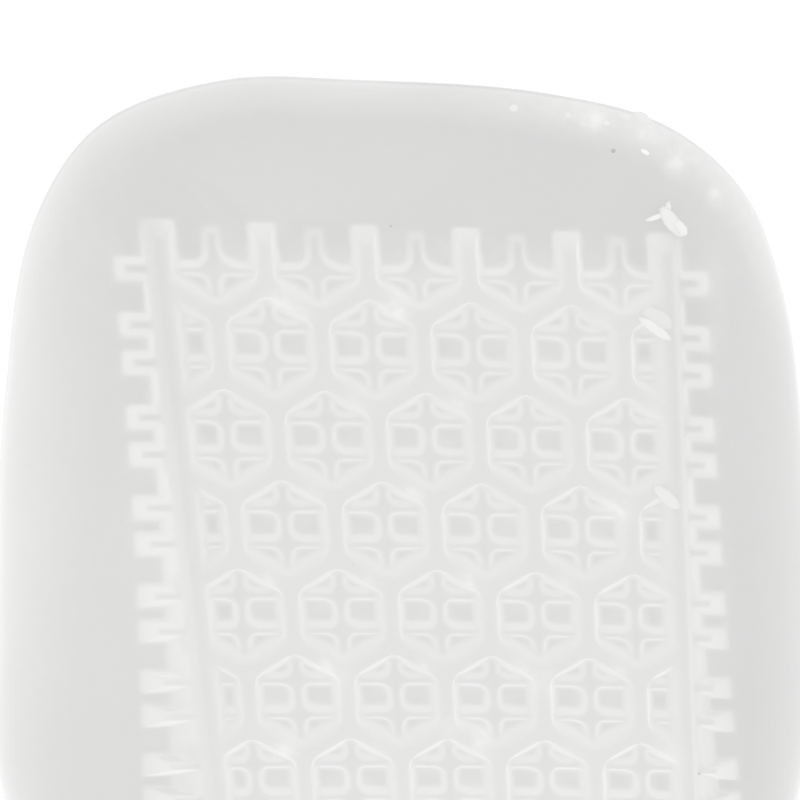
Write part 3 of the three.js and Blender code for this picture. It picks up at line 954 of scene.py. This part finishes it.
class Skin:
    """Where each vertex of the casting lies, in millimetres or in rows of cells."""

    def __init__(self, mesh):
        _, waffle = sizes()
        turned = np.array(waffle_frame().inverted())
        self.places = vertex_numbers(mesh, "co", 3)
        on_plane = self.places @ turned[:3, :3].T + turned[:3, 3]
        self.flat = on_plane[:, :2]
        self.below = -on_plane[:, 2] / MM
        self.facing_up = vertex_numbers(mesh, "normal", 3) @ turned[2, :3]
        self.steepness = spread_over_neighbours(mesh, np.sqrt(np.clip(1 - self.facing_up**2, 0, 1)), 1)
        self.row = -(on_plane[:, 1] - on_plane[:, 0] * math.tan(waffle.row_slope)) / waffle.row_pitch
        from_middle = on_plane[:, 0] - self.row * waffle.row_pitch * math.tan(waffle.column_lean)
        drawn_in = (from_middle < 0) * waffle.left_rail_draw * np.clip(self.row, 0, None) / waffle.last_row
        self.outside = (np.abs(from_middle) + drawn_in - waffle.columns / 2 * waffle.cell_pitch) / MM
        self.on_right = fade("right side", from_middle / MM)
        self.to_main = distance_to_lines(self.flat, main_lines()) / MM
        outline = outline_points()
        self.to_edge = distance_to_lines(self.places[:, :2], list(zip(outline, outline[1:] + outline[:1]))) / MM
        self.over_roof = (self.places[:, 2] - self.along_pad(roof_height)) / MM
        self.over_face = (self.places[:, 2] - self.along_pad(face_height)) / MM
        self.face_drop = self.along_pad(lambda y: rib_top_height(y) - face_height(y)) / MM
        self.find_regions(waffle)

    def along_pad(self, height_at):
        along = np.linspace(-front_y(), front_y(), 200)
        return np.interp(self.places[:, 1], along, [height_at(y) for y in along])

    def find_regions(self, waffle):
        """How far each vertex belongs to a region of the pad, from 0 to 1."""
        self.by_main = fade("main wall", self.to_main)
        self.fine = (1 - self.by_main) * fade("fine ribs", self.below)
        on_top = np.maximum(fade("rib top", self.below), self.by_main * fade("sloped", self.steepness))
        behind = np.maximum(fade("first row", self.row), on_top * fade("front stubs", self.row))
        behind = behind * fade("past last row", self.row - waffle.last_row)
        self.in_waffle = fade("waffle", self.outside) * behind
        self.at_stubs = fade("stubs", self.outside) * fade("stub rows", self.row)
        self.hanging = fade("hanging", self.face_drop)
        self.by_tall_stubs = (1 - self.in_waffle) * self.hanging * behind


def broad_light(skin, look):
    """Painted light of thick gel, of the rim and of the face beside the waffle, and painted shadow at the rim's foot.
    """
    light = np.clip(skin.over_roof - THIN_GEL, 0, THICKEST_GEL) * look.thick_glow
    # Painted shade: the rim on the right and towards the heel gets less painted light
    rim_share = (1 - RIGHT_RIM_LOSS * skin.on_right) * (1 - HEEL_RIM_LOSS * fade("heel rows", skin.row))
    light += skin.steepness * (1 - skin.at_stubs) * rim_share * look.rim_glow
    light += fade("front edge", skin.to_edge) * fade("front rows", skin.row) * look.front_glow
    beside = fade("beside the waffle", skin.outside) * fade("side rows", skin.row)
    light += beside * (1 - skin.in_waffle) * (1 - skin.on_right) * look.side_glow
    # Painted shadow: the gel is made darker where the rim meets the floor
    return light + fade("foot", skin.places[:, 2] / MM) * look.painted_foot_shadow


def waffle_light(skin, look):
    """Painted light between the ribs, on their walls and among the stubs, and painted shade deep in the pockets."""
    # Painted shade: the waffle is made darker deep between the fine ribs
    light = skin.in_waffle * (look.waffle_glow + skin.fine * look.painted_pocket_shade)
    side_rows = fade("side stub rows", skin.row)
    stubs = (1 - skin.in_waffle) * side_rows * (1 - HANGING_STUB_LOSS * skin.hanging) * look.stub_glow
    deeper = TOP_WALL_SHARE + DEEP_WALL_SHARE * fade("deep wall", skin.below)
    walls = skin.by_main * deeper * look.wall_glow + skin.fine * (skin.in_waffle * look.fine_glow + stubs)
    front_stubs = (skin.at_stubs - side_rows).clip(0) * skin.fine * look.wall_glow
    light += np.minimum(skin.steepness, STEEP) * (skin.at_stubs * walls + front_stubs)
    raised = fade("raised", skin.over_face) * skin.at_stubs * skin.by_tall_stubs
    light += raised * (1 - skin.by_main) * look.raised_glow
    return light + fade("stub strip", skin.outside) * skin.by_tall_stubs * (1 - raised) * look.gap_glow


def store_painted_light(piece, look):
    """Keeps for the material how much painted light each place of the gel gets, and where it is smeared.

    The thin flat skin is painted darkest. Painted light is added on thick gel, on steep walls, in the waffle and beside
    it."""
    mesh = piece.data
    skin = Skin(mesh)
    ribbed_side = skin.facing_up > 0
    light = (broad_light(skin, look) + waffle_light(skin, look)) * ribbed_side
    light = spread_over_neighbours(mesh, light, 1)
    dusty_corner = fade("dusty side", skin.places[:, 0] / MM) * fade("dusty front", skin.places[:, 1] / MM)
    smeared = smears(skin.flat) * (skin.below < SMEAR_DEPTH) + soft_marks(skin.places[:, :2])
    smeared += fade("dusty rim", skin.to_edge) * dusty_corner * DUST
    flakes = read_attribute(mesh, "torn") != 0
    write_attribute(mesh, "smeared", smeared * ribbed_side)
    write_attribute(mesh, "painted_light", np.where(flakes, look.waffle_glow, light))
    write_attribute(mesh, "to_edge", np.where(flakes, FAR_FROM_EDGE, skin.to_edge))


def skin_height(piece, place):
    """Height of the skin under a place of the ribbed side."""
    hit, point, _, _ = piece.ray_cast(Vector((place.x, place.y, 1.0)), Vector((0, 0, -1)))
    return point.z if hit else 0.0


def add_mark(piece, number, mark, torn):
    """A small ragged flake between two places, drawn out to a point at both ends."""
    _, start, end, width, lift, brightness = mark
    start, end = Vector(start) * MM, Vector(end) * MM
    heights = [max(skin_height(piece, start.lerp(end, share)) for share in shares) for shares in ((0, 0.3), (0.7, 1))]
    middle, along = (start + end) / 2, (end - start) / 2
    side = Vector((-along.y, along.x)).normalized() * (width * MM / 2)
    bpy.ops.object.mode_set(mode="EDIT")
    bpy.ops.mesh.select_all(action="DESELECT")
    bpy.ops.mesh.primitive_ico_sphere_add(subdivisions=3, radius=1)
    bm = bmesh.from_edit_mesh(piece.data)
    layer = bm.verts.layers.float[torn]
    for vertex in (v for v in bm.verts if v.select):
        ragged = noise.noise(vertex.co * 2.2 + Vector((number * 7.3, 0, 0))) * 0.3
        x, y, z = vertex.co
        flat = middle + along * (x * (1 + ragged * 0.5)) + side * (y * (1 + ragged))
        share = (x + 1) / 2
        height = heights[0] + (heights[1] - heights[0]) * share + (lift[0] + (lift[1] - lift[0]) * share) * MM
        vertex.co = (flat.x, flat.y, height + z * FLAKE_THICKNESS)
        # Painted light: each mark's upper half gets its full painted light, its lower half less
        vertex[layer] = brightness * max(0.2, min(1.0, z * 1.5))
    bmesh.update_edit_mesh(piece.data)
    bpy.ops.object.mode_set(mode="OBJECT")


class HEELPAD_OT_cast(bpy.types.Operator):
    """Models the cup and the waffle and casts them as one piece of gel"""

    bl_idname = "heelpad.cast"
    bl_label = "Cast Heel Pad"

    def execute(self, context):
        cast_sizes, look = context.scene.heel_pad_cast, context.scene.heel_pad_gel
        deselect_all()
        rings = cup_rings()
        bpy.ops.mesh.primitive_circle_add(vertices=len(rings[0]), radius=1, fill_type="NGON")
        piece = context.object
        piece.name = piece.data.name = "gel_heel_pad"
        bpy.ops.object.mode_set(mode="EDIT")
        bm = bmesh.from_edit_mesh(piece.data)
        place = bm.verts.layers.int.new("place")
        bm.verts.ensure_lookup_table()
        for index, vertex in enumerate(bm.verts):
            vertex[place] = index
            vertex.co = rings[0][index]
        bmesh.update_edit_mesh(piece.data)
        for ring in rings[1:]:
            bpy.ops.mesh.extrude_region_move()
            bm = bmesh.from_edit_mesh(piece.data)
            place = bm.verts.layers.int["place"]
            for vertex in (v for v in bm.verts if v.select):
                vertex.co = ring[vertex[place]]
        add_pocket_floor()
        add_rails()
        add_main_columns()
        add_zigzags()
        add_fine_columns()
        add_fine_rows()
        add_webs()
        add_cell_corners()
        bmesh.update_edit_mesh(piece.data)
        bpy.ops.object.mode_set(mode="OBJECT")
        cast(piece, cast_sizes.grain * (1), cast_sizes.rounding, cast_sizes.triangles)
        piece.data.attributes.new("torn", "FLOAT", "POINT")
        for number, mark in enumerate(MARKS):
            add_mark(piece, number, mark, "torn")
        store_painted_light(piece, look)
        piece.data.materials.clear()
        piece.data.materials.append(gel_material(look))
        bpy.ops.object.shade_smooth()
        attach(piece, "root")
        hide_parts(PAD)
        return {"FINISHED"}


class HEELPAD_OT_studio(bpy.types.Operator):
    """Lays the white floor, lights it softly and sets the camera"""

    bl_idname = "heelpad.studio"
    bl_label = "Set Studio"

    def execute(self, context):
        scene = context.scene
        studio = scene.heel_pad_studio
        deselect_all()
        bpy.ops.mesh.primitive_plane_add(size=FLOOR_SIZE, location=(0, 0, 0))
        floor = context.object
        floor.name = "floor"
        white = bpy.data.materials.new("white_floor")
        white.use_nodes = True
        shader = white.node_tree.nodes["Principled BSDF"]
        shader.inputs["Base Color"].default_value = FLOOR_COLOUR
        shader.inputs["Roughness"].default_value = FLOOR_ROUGHNESS
        shader.inputs["Emission Color"].default_value = (1, 1, 1, 1)
        shader.inputs["Emission Strength"].default_value = FLOOR_GLOW
        floor.data.materials.append(white)

        world = bpy.data.worlds.new("studio")
        scene.world = world
        world.use_nodes = True
        nodes, links = world.node_tree.nodes, world.node_tree.links
        back = nodes["Background"]
        coord = nodes.new("ShaderNodeTexCoord")
        split = nodes.new("ShaderNodeSeparateXYZ")
        ramp = nodes.new("ShaderNodeMapRange")
        links.new(coord.outputs["Generated"], split.inputs[0])
        links.new(split.outputs["Z"], ramp.inputs["Value"])
        for name, value in zip(("From Min", "From Max", "To Min", "To Max"), (*SKY_HEIGHTS, *SKY_LIGHT)):
            ramp.inputs[name].default_value = value
        links.new(ramp.outputs["Result"], back.inputs["Strength"])
        back.inputs["Color"].default_value = (1, 1, 1, 1)

        back_y = front_y() - LOOK_BACK
        target = Vector((LOOK_ACROSS, back_y, rib_top_height(back_y)))
        a, e = studio.azimuth, studio.elevation
        towards = Vector((math.sin(a) * math.cos(e), -math.cos(a) * math.cos(e), math.sin(e)))
        right = Vector((0, 1, 0)).cross(towards).normalized()
        up = towards.cross(right)
        camera = bpy.data.objects.new("camera", bpy.data.cameras.new("camera"))
        scene.collection.objects.link(camera)
        camera.matrix_world = Matrix.Translation(target + towards * studio.distance) @ Matrix(
            (right, up, towards)
        ).transposed().to_4x4()
        camera.data.sensor_width = SENSOR_MM
        camera.data.lens = studio.focal_px / FRAME_PX * SENSOR_MM
        camera.data.clip_start = 0.01
        scene.camera = camera
        scene.view_settings.view_transform = "Standard"
        return {"FINISHED"}


class HEELPAD_PT_panel(bpy.types.Panel):
    """Lists the steps that build the heel pad"""

    bl_idname = "HEELPAD_PT_panel"
    bl_label = "Heel Pad"
    bl_space_type = "VIEW_3D"
    bl_region_type = "UI"
    bl_category = "Heel Pad"

    def draw(self, context):
        for step in STEPS:
            self.layout.operator(step.bl_idname)


STEPS = (HEELPAD_OT_studio, HEELPAD_OT_cast)
GROUPS = {
    "heel_pad_cup": HeelPadCup,
    "heel_pad_waffle": HeelPadWaffle,
    "heel_pad_cast": HeelPadCast,
    "heel_pad_gel": HeelPadGel,
    "heel_pad_studio": HeelPadStudio,
}


def register():
    for name, group in GROUPS.items():
        bpy.utils.register_class(group)
        setattr(bpy.types.Scene, name, PointerProperty(type=group))
    for step in (*STEPS, HEELPAD_PT_panel):
        bpy.utils.register_class(step)


def unregister():
    for step in reversed((*STEPS, HEELPAD_PT_panel)):
        bpy.utils.unregister_class(step)
    for name, group in reversed(GROUPS.items()):
        delattr(bpy.types.Scene, name)
        bpy.utils.unregister_class(group)


def main():
    register()
    bpy.ops.heelpad.studio()
    bpy.ops.heelpad.cast()


if __name__ == "__main__":
    main()
